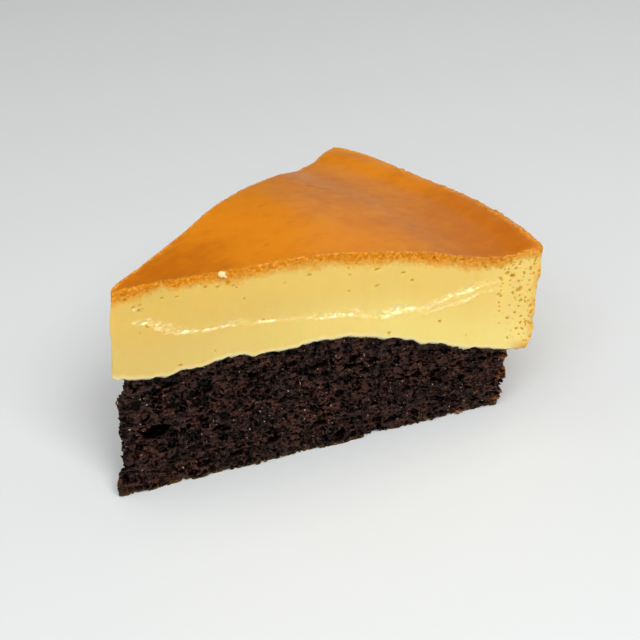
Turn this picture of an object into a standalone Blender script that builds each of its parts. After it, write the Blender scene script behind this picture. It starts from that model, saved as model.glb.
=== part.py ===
"""A slice of chocoflan: chocolate cake below, baked custard above, caramel on top.

The slice is an eighth of a round cake. It is drawn about the cake's own axis,
the edge where its two cuts meet, so that a place in it is a radius, an angle
and a height. The side it stands on is the one that rose in the oven, further
at the middle of the cake than at its rim. So the cake is thickest at the tip,
and the whole slice leans towards its rim.

X runs from the tip to the rim along the middle of the slice, Z is up, and the
origin is under the middle of the slice, on the surface that it stands on.
"""
from math import atan2, cos, exp, hypot, pi, radians, sin, sqrt

import bmesh
import bpy
from mathutils import Matrix, Vector, noise

MM = 0.001

# ---------------------------------------------------------------- dimensions
SLICE_ANGLE = radians(45.0)        # an eighth of the round cake
LEAN = 0.119                       # how far the slice leans for each unit of height
TIP_X = -62.7 * MM                 # where the two cuts meet at the base
TIP_Y = -0.7 * MM

CAKE_RADIUS = 111.2 * MM           # the cake shrank from the tin as it cooled
FLAN_RADIUS = 119.2 * MM           # the custard filled the tin
BACK_CORNER_REACH = 3.6 * MM       # its corner at the back cut was dragged outwards
LAYER_GAP = 0.3 * MM               # clearance between one layer and the next
CARAMEL_THICKNESS = 1.9 * MM       # how deep the caramel soaked into the custard

# Heights from the tip to the rim, as (radius, height) in millimetres. The top
# falls away towards the rim, runs in a shallow groove and turns up in a lip.
TOP_PROFILE = (
    (0.0, 62.1), (38.0, 61.3), (60.0, 59.6), (73.0, 57.2), (84.0, 54.1),
    (97.0, 49.1), (105.0, 47.2), (110.0, 46.6), (116.0, 46.9), (120.0, 46.4),
)
CAKE_PROFILE = (
    (0.0, 36.4), (20.0, 35.4), (45.0, 35.3), (60.0, 34.7), (68.0, 33.0),
    (78.0, 29.4), (89.0, 25.3), (98.0, 21.8), (106.0, 19.2), (120.0, 15.4),
)
FRONT_LIFT = 1.5 * MM              # the lip stands higher at the front cut

# Wear, sag and rounding of the soft pieces
TIP_BLUNTNESS = 0.7 * MM           # how far the knife's sharp corner is worn back
TIP_FADE = 2.5 * MM                # and how far from the corner that wear is felt
CAKE_TIP_WEAR = 2.0 * MM           # crumbs lost from the top of the cake's tip
CAKE_TIP_WEAR_HEIGHT = 7.0 * MM
FLAN_OVERHANG = 0.25 * MM          # the custard stands proud of the cake's cuts
FLAN_SAG = 0.8 * MM                # and bulges further at its foot
FLAN_SAG_HEIGHT = 9.0 * MM
FOOT_ROUNDING = 3.6 * MM           # its lower rim took the rounded edge of the tin
FOOT_HEIGHT = 6.5 * MM
LIP_ROUNDING = 1.1 * MM            # the rim's upper edge

# Unevenness, as (height of the bumps, distance between them, number of the pattern)
CAKE_TOP_BUMPS = (0.55 * MM, 17.0 * MM, 3.3)
CAKE_SIDE_BUMPS = (0.55 * MM, 9.0 * MM, 1.9)
FLAN_SIDE_BUMPS = (0.35 * MM, 22.0 * MM, 9.2)
CARAMEL_BUMPS = (0.35 * MM, 15.0 * MM, 5.1)
TOP_BUMPS = (0.90 * MM, 26.0 * MM, 40.7)

# Divisions of the mesh
CAKE_RINGS = 33                    # from the tip to the cake's rim
RIM_RINGS = 4                      # from there to the custard's rim
FANS = 14                          # from one cut to the other
CAKE_STEPS = 9                     # from the underside up
FLAN_STEPS = 8
FLAN_STEP_GROWTH = 1.4             # the custard's steps are closest at its rounded foot
CARAMEL_STEPS = 2
SHARPEST_SMOOTH_EDGE = radians(40.0)


# ---------------------------------------------------------------- shape rules
def smoothstep(value, low, high):
    """0 below low, 1 above high, and an S curve between them."""
    t = min(1.0, max(0.0, (value - low) / (high - low)))
    return t * t * (3.0 - 2.0 * t)


def along(profile, radius):
    """The height at a radius, on a smooth curve through a profile's points."""
    r = radius / MM
    last = len(profile) - 2
    i = next((k for k in range(last) if r <= profile[k + 1][0]), last)
    (r0, z0), (r1, z1) = profile[i], profile[i + 1]
    before = profile[max(i - 1, 0)]
    after = profile[min(i + 2, last + 1)]
    width = r1 - r0
    rise0 = width * (z1 - before[1]) / (r1 - before[0])
    rise1 = width * (after[1] - z0) / (after[0] - r0)
    t = (r - r0) / width
    height = (
        (2 * t**3 - 3 * t**2 + 1) * z0 + (t**3 - 2 * t**2 + t) * rise0
        + (3 * t**2 - 2 * t**3) * z1 + (t**3 - t**2) * rise1
    )
    return height * MM


def bump(bumps, x, y, z=0.0):
    """A soft random height at a place."""
    height, distance, pattern = bumps
    return height * noise.noise(Vector((x, y, z)) / distance + Vector((pattern, pattern, 0.5)))


def cake_top(x, y):
    """Height of the cake's upper side above a place in the plan."""
    return along(CAKE_PROFILE, hypot(x, y)) + bump(CAKE_TOP_BUMPS, x, y)


def slice_top(x, y):
    """Height of the caramel's upper side above a place in the plan."""
    radius = hypot(x, y)
    to_front = smoothstep(-y / (FLAN_RADIUS * sin(SLICE_ANGLE / 2)), 0.2, 1.0)
    lift = FRONT_LIFT * to_front * smoothstep(radius, 0.5 * FLAN_RADIUS, 0.95 * FLAN_RADIUS)
    return along(TOP_PROFILE, radius) + lift + bump(TOP_BUMPS, x, y)


def flan_top(x, y):
    """Height of the custard's upper side, where the caramel ends."""
    depth = CARAMEL_THICKNESS + bump(CARAMEL_BUMPS, x, y)
    return slice_top(x, y) - depth - LAYER_GAP


def flan_radius(angle):
    """The custard's radius, which reaches further at the corner of the back cut."""
    return FLAN_RADIUS + BACK_CORNER_REACH * smoothstep(angle / (SLICE_ANGLE / 2), 0.2, 1.0)


def plan_place(radius, angle, cut_offset, tip_offset):
    """A place in the plan, once the two cuts have moved out and the tip in.

    The cuts' offset fades to nothing at the middle of the slice and at its tip.
    """
    share = angle / (SLICE_ANGLE / 2)
    at_tip = exp(-radius / TIP_FADE)
    outward = cut_offset * share ** 3 * (1.0 - at_tip)
    x = radius * cos(angle) - outward * sin(angle)
    y = radius * sin(angle) + outward * cos(angle)
    return x + tip_offset * at_tip, y


def leaned(x, y, z):
    """The finished place of a point of the upright slice."""
    return Vector((TIP_X + x + LEAN * z, TIP_Y + y, z))


# ---------------------------------------------------------------- mesh makers
def unit_wedge(rings, steps):
    """A closed wedge whose radius and height both run from 0 to 1.

    An upright grid is turned about the tip, and its points that lie on the
    axis are merged.
    """
    bm = bmesh.new()
    upright = (
        Matrix.Rotation(-SLICE_ANGLE / 2, 4, "Z")
        @ Matrix.Rotation(pi / 2, 4, "X")
        @ Matrix.Translation((0.5, 0.5, 0.0))
    )
    bmesh.ops.create_grid(bm, x_segments=rings, y_segments=steps, size=0.5, matrix=upright)
    bmesh.ops.spin(
        bm, geom=bm.verts[:] + bm.edges[:] + bm.faces[:], cent=(0, 0, 0), axis=(0, 0, 1),
        angle=SLICE_ANGLE, steps=FANS, use_duplicate=False,
    )
    bmesh.ops.remove_doubles(bm, verts=bm.verts, dist=1e-5)
    return bm


def shaped(bm, place):
    """Move every point of a unit wedge to its place(fraction, angle, share of height)."""
    for vert in bm.verts:
        fraction = hypot(vert.co.x, vert.co.y)
        angle = atan2(vert.co.y, vert.co.x) if fraction > 1e-4 else 0.0
        vert.co = place(fraction, angle, vert.co.z)
    bmesh.ops.recalc_face_normals(bm, faces=bm.faces)
    return bm


def cake_mesh():
    """Chocolate cake: flat below, uneven above, its cuts and rim slightly ragged."""
    def place(fraction, angle, rise):
        radius = fraction * CAKE_RADIUS
        z = rise * along(CAKE_PROFILE, radius)
        ragged = bump(CAKE_SIDE_BUMPS, radius, CAKE_RADIUS * angle, z)
        radius += ragged * smoothstep(fraction, 0.9, 1.0)
        missing = along(CAKE_PROFILE, radius) - z
        wear = CAKE_TIP_WEAR * (1.0 - smoothstep(missing, 0.0, CAKE_TIP_WEAR_HEIGHT))
        x, y = plan_place(radius, angle, ragged, TIP_BLUNTNESS + wear)
        return leaned(x, y, rise * cake_top(x, y))

    return shaped(unit_wedge(CAKE_RINGS, CAKE_STEPS), place)


def beyond_cake(fraction, outer_radius):
    """Radius of a ring that matches the cake's rings as far as the cake goes."""
    ring = fraction * (CAKE_RINGS + RIM_RINGS)
    if ring <= CAKE_RINGS:
        return CAKE_RADIUS * ring / CAKE_RINGS
    return CAKE_RADIUS + (outer_radius - CAKE_RADIUS) * (ring - CAKE_RINGS) / RIM_RINGS


def flan_mesh():
    """Baked custard: it fills the tin, rounds off at its foot and sags over the cake."""
    rim_foot = along(CAKE_PROFILE, FLAN_RADIUS)
    rim_height = along(TOP_PROFILE, FLAN_RADIUS) - CARAMEL_THICKNESS - rim_foot

    def place(fraction, angle, rise):
        rise = rise ** FLAN_STEP_GROWTH
        from_foot = min(1.0, rise * rim_height / FOOT_HEIGHT)
        outer = flan_radius(angle) - FOOT_ROUNDING * (1.0 - sqrt(1.0 - (1.0 - from_foot) ** 2))
        radius = beyond_cake(fraction, outer)
        column = along(TOP_PROFILE, radius) - along(CAKE_PROFILE, radius)
        sag = FLAN_SAG * (1.0 - smoothstep(rise * column, 0.0, FLAN_SAG_HEIGHT))
        wavy = bump(FLAN_SIDE_BUMPS, radius, CAKE_RADIUS * angle, rise * column)
        x, y = plan_place(radius, angle, FLAN_OVERHANG + sag + wavy, TIP_BLUNTNESS - sag)
        low = cake_top(x, y) + LAYER_GAP
        return leaned(x, y, low + rise * (flan_top(x, y) - low))

    return shaped(unit_wedge(CAKE_RINGS + RIM_RINGS, FLAN_STEPS), place)


def caramel_mesh():
    """Caramel: a thin layer that follows the custard's top and rounds over its lip."""
    def place(fraction, angle, rise):
        radius = beyond_cake(fraction, flan_radius(angle) - LIP_ROUNDING * rise ** 3)
        height = along(TOP_PROFILE, radius) - along(CAKE_PROFILE, radius)
        wavy = bump(FLAN_SIDE_BUMPS, radius, CAKE_RADIUS * angle, height)
        x, y = plan_place(radius, angle, FLAN_OVERHANG + wavy, TIP_BLUNTNESS)
        low = flan_top(x, y) + LAYER_GAP
        return leaned(x, y, low + rise * (slice_top(x, y) - low))

    return shaped(unit_wedge(CAKE_RINGS + RIM_RINGS, CARAMEL_STEPS), place)


# ---------------------------------------------------------------- materials
def linear(hex_colour):
    """An sRGB screen colour such as "F0D68A" as linear RGBA."""
    channels = [int(hex_colour[i:i + 2], 16) / 255 for i in (0, 2, 4)]
    return [c / 12.92 if c <= 0.04045 else ((c + 0.055) / 1.055) ** 2.4 for c in channels] + [1.0]


def food_material(name, hex_colour, roughness, scatter):
    """A Principled material; scatter is how far light spreads inside, in metres."""
    material = bpy.data.materials.new(name)
    material.use_nodes = True
    shader = material.node_tree.nodes["Principled BSDF"]
    shader.inputs["Base Color"].default_value = linear(hex_colour)
    shader.inputs["Roughness"].default_value = roughness
    shader.inputs["Metallic"].default_value = 0.0
    shader.inputs["Subsurface Weight"].default_value = 1.0 if scatter else 0.0
    shader.inputs["Subsurface Scale"].default_value = scatter
    material.diffuse_color = linear(hex_colour)
    return material


# ---------------------------------------------------------------- the slice
def add_piece(name, bm, material, collection):
    """An object for one layer, smooth but for its cut edges."""
    mesh = bpy.data.meshes.new(name)
    bm.to_mesh(mesh)
    bm.free()
    mesh.materials.append(material)
    mesh.shade_smooth()
    mesh.set_sharp_from_angle(angle=SHARPEST_SMOOTH_EDGE)
    piece = bpy.data.objects.new(name, mesh)
    collection.objects.link(piece)
    return piece


def build():
    """Make the three layers, from the bottom up."""
    for scene_object in list(bpy.data.objects):
        bpy.data.objects.remove(scene_object, do_unlink=True)
    collection = bpy.data.collections.new("chocoflan")
    bpy.context.scene.collection.children.link(collection)

    cake = food_material("chocolate_sponge", "2E1B15", 0.8, 0.0)
    custard = food_material("egg_custard", "EFD27F", 0.3, 1.5 * MM)
    caramel = food_material("burnt_sugar_caramel", "C8751B", 0.18, 1.0 * MM)
    add_piece("chocolate_cake", cake_mesh(), cake, collection)
    add_piece("flan_custard", flan_mesh(), custard, collection)
    add_piece("caramel_top", caramel_mesh(), caramel, collection)


build()
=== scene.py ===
# %% [markdown]
# # A slice of chocoflan
#
# Chocoflan is baked as one cake in one tin, and comes out as three layers:
# chocolate cake below, egg custard above it, and on top the caramel that lined
# the tin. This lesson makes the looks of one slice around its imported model,
# which fixes where each layer is.

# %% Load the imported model
import math

import bmesh
import bpy
import numpy as np
from mathutils import Matrix, Vector, noise


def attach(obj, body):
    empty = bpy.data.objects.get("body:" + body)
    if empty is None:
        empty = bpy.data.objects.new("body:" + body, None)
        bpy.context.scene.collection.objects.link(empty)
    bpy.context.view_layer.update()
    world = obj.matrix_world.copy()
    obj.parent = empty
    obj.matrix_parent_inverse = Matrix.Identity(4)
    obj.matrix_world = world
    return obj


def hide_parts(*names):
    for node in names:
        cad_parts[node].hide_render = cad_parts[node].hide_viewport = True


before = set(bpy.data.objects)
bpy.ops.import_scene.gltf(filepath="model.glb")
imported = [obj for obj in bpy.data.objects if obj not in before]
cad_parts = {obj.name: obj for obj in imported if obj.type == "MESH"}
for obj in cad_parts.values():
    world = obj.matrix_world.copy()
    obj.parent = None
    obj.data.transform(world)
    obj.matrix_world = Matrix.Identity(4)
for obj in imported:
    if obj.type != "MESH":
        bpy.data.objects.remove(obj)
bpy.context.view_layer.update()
MM = 0.001
print("layers:", sorted(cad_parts))

# %% [markdown]
# ## The camera
#
# The slice is seen from above its front cut, a little towards the tip, through
# a lens that is somewhat longer than usual, so the far end of the slice shrinks
# little. The camera is also turned a few degrees, which is its roll.

# %% Place the camera
CAMERA_PLACE = Vector((-165.5, -230.4, 218.6)) * MM
CAMERA_HEADING = math.radians(-37.29)
CAMERA_DOWN = math.radians(34.10)
CAMERA_ROLL = math.radians(-4.21)
LENS = 67.5

camera_data = bpy.data.cameras.new("camera")
camera_data.lens = LENS
camera = bpy.data.objects.new("camera", camera_data)
camera.matrix_world = (
    Matrix.Translation(CAMERA_PLACE)
    @ Matrix.Rotation(CAMERA_HEADING, 4, "Z")
    @ Matrix.Rotation(math.pi / 2 - CAMERA_DOWN, 4, "X")
    @ Matrix.Rotation(CAMERA_ROLL, 4, "Z")
)
bpy.context.scene.collection.objects.link(camera)
bpy.context.scene.camera = camera
print("camera at", [round(c * 1000) for c in CAMERA_PLACE], "mm")

# %% [markdown]
# ## Colours and nodes
#
# Every colour is written as it looks on a screen, in sRGB, and one function
# turns it to the linear numbers that a shader adds and multiplies. A second
# small function adds a node with its settings and its links. It works in any
# node tree, so one recipe for pores can shape a mesh and colour it as well.
# Most of this food's looks are one colour that passes softly into another as
# some value rises, so that pair of nodes is a recipe of its own.
#
# Inputs that share a name are given by their number. A Map Range node has its
# value at 0, the range that it comes from at 1 and 2, and the one that it goes
# to at 3 and 4. A Mix node has its share at 0 and its two colours at 6 and 7.

# %% Helpers for nodes
def linear(hex_colour):
    """An sRGB colour such as "F0D68A" as linear RGBA."""
    channels = [int(hex_colour[i:i + 2], 16) / 255 for i in (0, 2, 4)]
    return [c / 12.92 if c <= 0.04045 else ((c + 0.055) / 1.055) ** 2.4 for c in channels] + [1.0]


def set_inputs(tree, node, inputs):
    """Links the inputs that are given as a socket or as a node, and sets the others."""
    for name, value in inputs.items():
        if isinstance(value, bpy.types.Node):
            value = value.outputs[0]
        if isinstance(value, bpy.types.NodeSocket):
            tree.links.new(value, node.inputs[name])
        else:
            node.inputs[name].default_value = value


def add_node(tree, kind, inputs=None, **settings):
    """A node of a kind, with its settings and its inputs."""
    node = tree.nodes.new(kind)
    for name, value in settings.items():
        setattr(node, name, value)
    set_inputs(tree, node, inputs or {})
    return node


SMOOTH = {"interpolation_type": "SMOOTHSTEP"}
COLOURS = {"data_type": "RGBA"}


def passing(tree, value, low, high, first, second, at_low=0.0, at_high=1.0):
    """The first colour, passing softly to the second as a value goes from low to high."""
    inputs = {0: value, 1: low, 2: high, 3: at_low, 4: at_high}
    share = add_node(tree, "ShaderNodeMapRange", inputs, **SMOOTH)
    return add_node(tree, "ShaderNodeMix", {0: share, 6: first, 7: second}, **COLOURS).outputs[2]


def new_material(name):
    """An empty node material, its node tree and its Principled shader."""
    material = bpy.data.materials.new(name)
    material.use_nodes = True
    return material, material.node_tree, material.node_tree.nodes["Principled BSDF"]


print("the screen's middle grey is", round(linear("808080")[0], 2), "to a shader")

# %% [markdown]
# ## The floor and the light
#
# The floor is a board in matt pale paint. It hardly shines, and it lights the
# slice from below. Above it are a wide ceiling light, a lamp in front, a window
# to the left and one behind it, and a dim room all round. Wet food takes its
# shine from these lights: the small, bright lamp gives the custard its white
# glints, and only a dim wall stands where the flat caramel mirrors the room.

# %% Lay the floor
FLOOR_SIZE = 3.0

floor_bm = bmesh.new()
bmesh.ops.create_grid(floor_bm, x_segments=1, y_segments=1, size=FLOOR_SIZE / 2)
floor_mesh = bpy.data.meshes.new("floor")
floor_bm.to_mesh(floor_mesh)
floor_bm.free()
floor = bpy.data.objects.new("floor", floor_mesh)
bpy.context.scene.collection.objects.link(floor)
pale_paint, tree, shader = new_material("matt_pale_paint")
set_inputs(tree, shader, {"Base Color": linear("DFE3E5"), "Roughness": 0.5})
floor_mesh.materials.append(pale_paint)
print("a floor of", FLOOR_SIZE, "m")

# %% Hang the lights
LIGHTS = (
    # name, place in metres, size in metres, watts, colour
    ("ceiling", (-0.10, -0.10, 1.10), 1.20, 3.6, "FFFBF6"),
    ("lamp", (-0.08, -0.71, 0.82), 0.45, 7.2, "FFFDFA"),
    ("window", (-0.80, -0.38, 0.88), 0.80, 3.4, "FBFCFF"),
    ("far_wall", (1.62, 1.01, 0.58), 1.10, 1.2, "FFF6EE"),
    ("back_window", (-0.72, 0.95, 0.70), 0.80, 1.7, "FFFAF2"),
)
SLICE_MIDDLE = Vector((0.0, 0.0, 0.03))

for name, place, size, watts, colour in LIGHTS:
    lamp_data = bpy.data.lights.new(name, "AREA")
    lamp_data.size = size
    lamp_data.energy = watts
    lamp_data.color = linear(colour)[:3]
    lamp = bpy.data.objects.new(name, lamp_data)
    aim = (SLICE_MIDDLE - Vector(place)).to_track_quat("-Z", "Y").to_matrix().to_4x4()
    lamp.matrix_world = Matrix.Translation(place) @ aim
    bpy.context.scene.collection.objects.link(lamp)
print(len(LIGHTS), "lights, together", round(sum(light[3] for light in LIGHTS), 1), "W")

# %% Dim the room
# how bright the room is all round, and straight above
DIM = 0.07
BRIGHT = 0.60

world = bpy.data.worlds.new("dim_room")
world.use_nodes = True
direction = add_node(world.node_tree, "ShaderNodeTexCoord").outputs["Generated"]
upwards = add_node(world.node_tree, "ShaderNodeSeparateXYZ", {0: direction}).outputs["Z"]
room_light = add_node(
    world.node_tree, "ShaderNodeMapRange", {0: upwards, 1: 0.60, 2: 0.90, 3: DIM, 4: BRIGHT}, **SMOOTH)
background = world.node_tree.nodes["Background"]
set_inputs(world.node_tree, background, {"Color": linear("F2F2F2"), "Strength": room_light})
bpy.context.scene.world = world
bpy.context.scene.view_settings.view_transform = "Standard"
print("a room of strength", DIM, "to", BRIGHT)

# %% [markdown]
# ## The shape of the slice
#
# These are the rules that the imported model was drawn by, in millimetres. A
# place in the slice is a radius from the tip, a share of the angle from the
# front cut (-1) to the back cut (+1), and a height. The whole slice leans
# towards its rim, because the cake's risen side, on which it stands, is
# thickest at the tip.

# %% The slice's dimensions
HALF_ANGLE = math.radians(22.5)
LEAN = 0.119
TIP = (-62.7, -0.7)
CAKE_RADIUS = 111.2
FLAN_RADIUS = 119.2
BACK_CORNER_REACH = 3.6
CARAMEL_THICKNESS = 1.9
TOP_PROFILE = (
    (0.0, 62.1), (38.0, 61.3), (60.0, 59.6), (73.0, 57.2), (84.0, 54.1),
    (97.0, 49.1), (105.0, 47.2), (110.0, 46.6), (116.0, 46.9), (120.0, 46.4),
)
CAKE_PROFILE = (
    (0.0, 36.4), (20.0, 35.4), (45.0, 35.3), (60.0, 34.7), (68.0, 33.0),
    (78.0, 29.4), (89.0, 25.3), (98.0, 21.8), (106.0, 19.2), (120.0, 15.4),
)
FRONT_LIFT = 1.5
TIP_OFFSET = 1.38
TIP_FADE = 1.5
# for each kind of bump: its height, the distance between bumps and the pattern's number
CAKE_TOP_BUMPS = (0.55, 17.0, 3.3)
CAKE_SIDE_BUMPS = (0.55, 9.0, 1.9)
FLAN_SIDE_BUMPS = (0.35, 22.0, 9.2)
CARAMEL_BUMPS = (0.35, 15.0, 5.1)
TOP_BUMPS = (0.90, 26.0, 40.7)
print("a slice of", round(math.degrees(2 * HALF_ANGLE)), "degrees,", FLAN_RADIUS, "mm long")


# %% Curves and bumps
def smoothstep(value, low, high):
    """0 below low, 1 above high, and an S curve between them."""
    t = np.clip((value - low) / (high - low), 0.0, 1.0)
    return t * t * (3.0 - 2.0 * t)


def along(profile, radius):
    """The heights at some radii, on a smooth curve through a profile's points."""
    r, z = np.array(profile).T
    i = np.clip(np.searchsorted(r, radius) - 1, 0, len(r) - 2)
    before = np.maximum(i - 1, 0)
    after = np.minimum(i + 2, len(r) - 1)
    width = r[i + 1] - r[i]
    rise0 = width * (z[i + 1] - z[before]) / (r[i + 1] - r[before])
    rise1 = width * (z[after] - z[i]) / (r[after] - r[i])
    t = (radius - r[i]) / width
    return (
        (2 * t**3 - 3 * t**2 + 1) * z[i] + (t**3 - 2 * t**2 + t) * rise0
        + (3 * t**2 - 2 * t**3) * z[i + 1] + (t**3 - t**2) * rise1
    )


def bump(bumps, x, y, z=0.0):
    """Soft random heights at some places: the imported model's own unevenness."""
    height, distance, pattern = bumps
    places = np.stack(np.broadcast_arrays(x, y, z), 1) / distance + (pattern, pattern, 0.5)
    return height * np.array([noise.noise(Vector(place)) for place in places])


print("halfway out, the top is", round(along(TOP_PROFILE, FLAN_RADIUS / 2), 1), "mm high")


# %% Heights and places on the slice
def cake_top(x, y):
    """Height of the cake's upper side above a place in the plan."""
    return along(CAKE_PROFILE, np.hypot(x, y)) + bump(CAKE_TOP_BUMPS, x, y)


def slice_top(x, y):
    """Height of the caramel's upper side above a place in the plan."""
    radius = np.hypot(x, y)
    to_front = smoothstep(-y / (FLAN_RADIUS * math.sin(HALF_ANGLE)), 0.2, 1.0)
    lift = FRONT_LIFT * to_front * smoothstep(radius, 0.5 * FLAN_RADIUS, 0.95 * FLAN_RADIUS)
    return along(TOP_PROFILE, radius) + lift + bump(TOP_BUMPS, x, y)


def flan_radius(share):
    """The custard's radius, which reaches further at the corner of the back cut."""
    return FLAN_RADIUS + BACK_CORNER_REACH * smoothstep(share, 0.2, 1.0)


def plan_place(radius, share, cut_offset, tip_offset=TIP_OFFSET, tip_fade=TIP_FADE):
    """A place in the plan; the cuts move out by an offset, and the tip is rounded."""
    angle = share * HALF_ANGLE
    at_tip = np.exp(-radius / tip_fade)
    outward = cut_offset * share**3 * (1.0 - at_tip)
    x = radius * np.cos(angle) - outward * np.sin(angle)
    y = radius * np.sin(angle) + outward * np.cos(angle)
    return x + tip_offset * at_tip, y


def leaned(x, y, z):
    """Finished places, in millimetres, of points of the upright slice."""
    return np.stack([TIP[0] + x + LEAN * z, TIP[1] + y, z], 1)


print("at the back cut, the custard reaches out", round(flan_radius(1.0), 1), "mm")

# %% [markdown]
# ## Natural unevenness
#
# Food has no straight line and no even surface. Soft noise gives it both:
# random heights on a lattice, with smooth hills between them. The noise is
# worked out in space and not on the surface, so it runs round corners unbroken.

# %% Soft noise in space
CORNERS = [np.array((i, j, k)) for i in (0, 1) for j in (0, 1) for k in (0, 1)]


def lattice_random(cell, seed):
    """One steady random number from 0 to 1 for each whole-numbered lattice point."""
    # large odd factors spread the numbers, and folding the high bits down scrambles them
    mixed = (cell * np.array([73856093, 19349663, 83492791], np.int64)).sum(-1) + seed * 2654435761
    mixed = ((mixed ^ (mixed >> 15)) * 668265263) & 0x7FFFFFFF
    mixed = ((mixed ^ (mixed >> 13)) * 374761393) & 0x7FFFFFFF
    return ((mixed ^ (mixed >> 16)) & 0xFFFFFF) / 0xFFFFFF


def soft_noise(points, size, seed):
    """Smooth random values from -1 to 1, with hills about size apart."""
    scaled = points / size
    cell = np.floor(scaled).astype(np.int64)
    part = scaled - cell
    part = part * part * (3.0 - 2.0 * part)
    total = np.zeros(len(points))
    for corner in CORNERS:
        weight = np.prod(np.where(corner, part, 1.0 - part), 1)
        total += weight * lattice_random(cell + corner, seed)
    return 2.0 * total - 1.0


def layered_noise(points, layers):
    """Soft noise of several sizes, added; each layer is a height, a size and a seed."""
    return sum(height * soft_noise(points, size, seed) for height, size, seed in layers)


def in_plan(x, y):
    """Places in the plan, as points at height 0."""
    return np.stack([x, y, np.zeros(len(x))], 1)


samples = soft_noise(np.stack([np.linspace(0, 500, 4000)] * 3, 1), 3.0, 1)
print("soft noise: mean", round(samples.mean(), 2), "spread", round(samples.std(), 2))

# %% [markdown]
# ## A skin round the slice
#
# The cake and the custard are one skin each. Its side goes along the back cut
# to the tip, out along the front cut and round the rim, and its top and bottom
# close in to a point in the middle. One fine grid is bent to that shape, and
# where its edges meet they are merged. The points of a mesh are read and
# written all at once, as arrays, because there are hundreds of thousands.

# %% A mesh's points as arrays
def points_of(mesh):
    """A mesh's points as an array."""
    points = np.zeros(len(mesh.vertices) * 3)
    mesh.vertices.foreach_get("co", points)
    return points.reshape(-1, 3)


def set_points(mesh, points):
    """Moves a mesh's points."""
    mesh.vertices.foreach_set("co", points.ravel())
    mesh.update()


def normals_of(mesh):
    """A mesh's outward direction at each point."""
    normals = np.zeros(len(mesh.vertices) * 3)
    mesh.vertex_normals.foreach_get("vector", normals)
    return normals.reshape(-1, 3)


def store(mesh, name, values):
    """Stores a number, or a place, for each point, which nodes can read."""
    kind, key = ("FLOAT", "value") if values.ndim == 1 else ("FLOAT_VECTOR", "vector")
    attribute = mesh.attributes.get(name) or mesh.attributes.new(name, kind, "POINT")
    attribute.data.foreach_set(key, values.ravel().astype(np.float32))


# %% Bend a grid round the slice
MIDDLE_SHARE = 0.62


def side_stations(radius, spacing):
    """Round the slice in steps of spacing: each column's share of radius and of angle."""
    cut = np.linspace(1.0, 0.0, round(radius / spacing) + 1)
    rim = np.linspace(-1.0, 1.0, round(2 * HALF_ANGLE * radius / spacing) + 1)
    fraction = np.concatenate([cut, cut[::-1][1:], np.ones(len(rim) - 1)])
    share = np.concatenate([np.ones(len(cut)), -np.ones(len(cut) - 1), rim[1:]])
    return fraction, share


def grid_mesh(name, columns, rows):
    """A grid as a mesh, with the column and the row of each of its points."""
    bm = bmesh.new()
    bmesh.ops.create_grid(bm, x_segments=columns, y_segments=rows, size=0.5)
    mesh = bpy.data.meshes.new(name)
    bm.to_mesh(mesh)
    bm.free()
    flat = points_of(mesh)
    column = np.rint((flat[:, 0] + 0.5) * columns).astype(int)
    row = np.rint((flat[:, 1] + 0.5) * rows).astype(int)
    return mesh, column, row


def skin_grid(name, radius, spacing, bottom_rows, side_rows, top_rows):
    """A skin's mesh, and for each point: its shares of the radius, the angle and the
    height, and how far it has closed in towards the middle, below and above."""
    fraction, share = side_stations(radius, spacing)
    mesh, column, row = grid_mesh(name, len(fraction) - 1, bottom_rows + side_rows + top_rows)
    rise = np.clip((row - bottom_rows) / side_rows, 0.0, 1.0)
    under = np.clip((bottom_rows - row) / bottom_rows, 0.0, 1.0)
    over = np.clip((row - bottom_rows - side_rows) / top_rows, 0.0, 1.0)
    return mesh, fraction[column], share[column], rise, under, over


def towards_middle(x, y, radius, amount):
    """Moves places in the plan towards the slice's middle, by a share from 0 to 1."""
    return x + (MIDDLE_SHARE * radius - x) * amount, y * (1.0 - amount)


def merged(mesh, distance=1e-4):
    """Merges points that lie together and turns every face outwards."""
    bm = bmesh.new()
    bm.from_mesh(mesh)
    bmesh.ops.remove_doubles(bm, verts=bm.verts, dist=distance)
    bmesh.ops.recalc_face_normals(bm, faces=bm.faces)
    bm.to_mesh(mesh)
    bm.free()


# %% [markdown]
# ## Relief from nodes
#
# Pores and pits are too many to model one by one. A recipe in nodes gives how
# deep they are at any place in space. Geometry Nodes moves the points of the
# mesh by it, and the material calls the same recipe for its colours, so that
# the dark of a pore falls where the pore is. Afterwards the mesh is thinned
# where it is flat, and keeps its points where it is rough.

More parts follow.
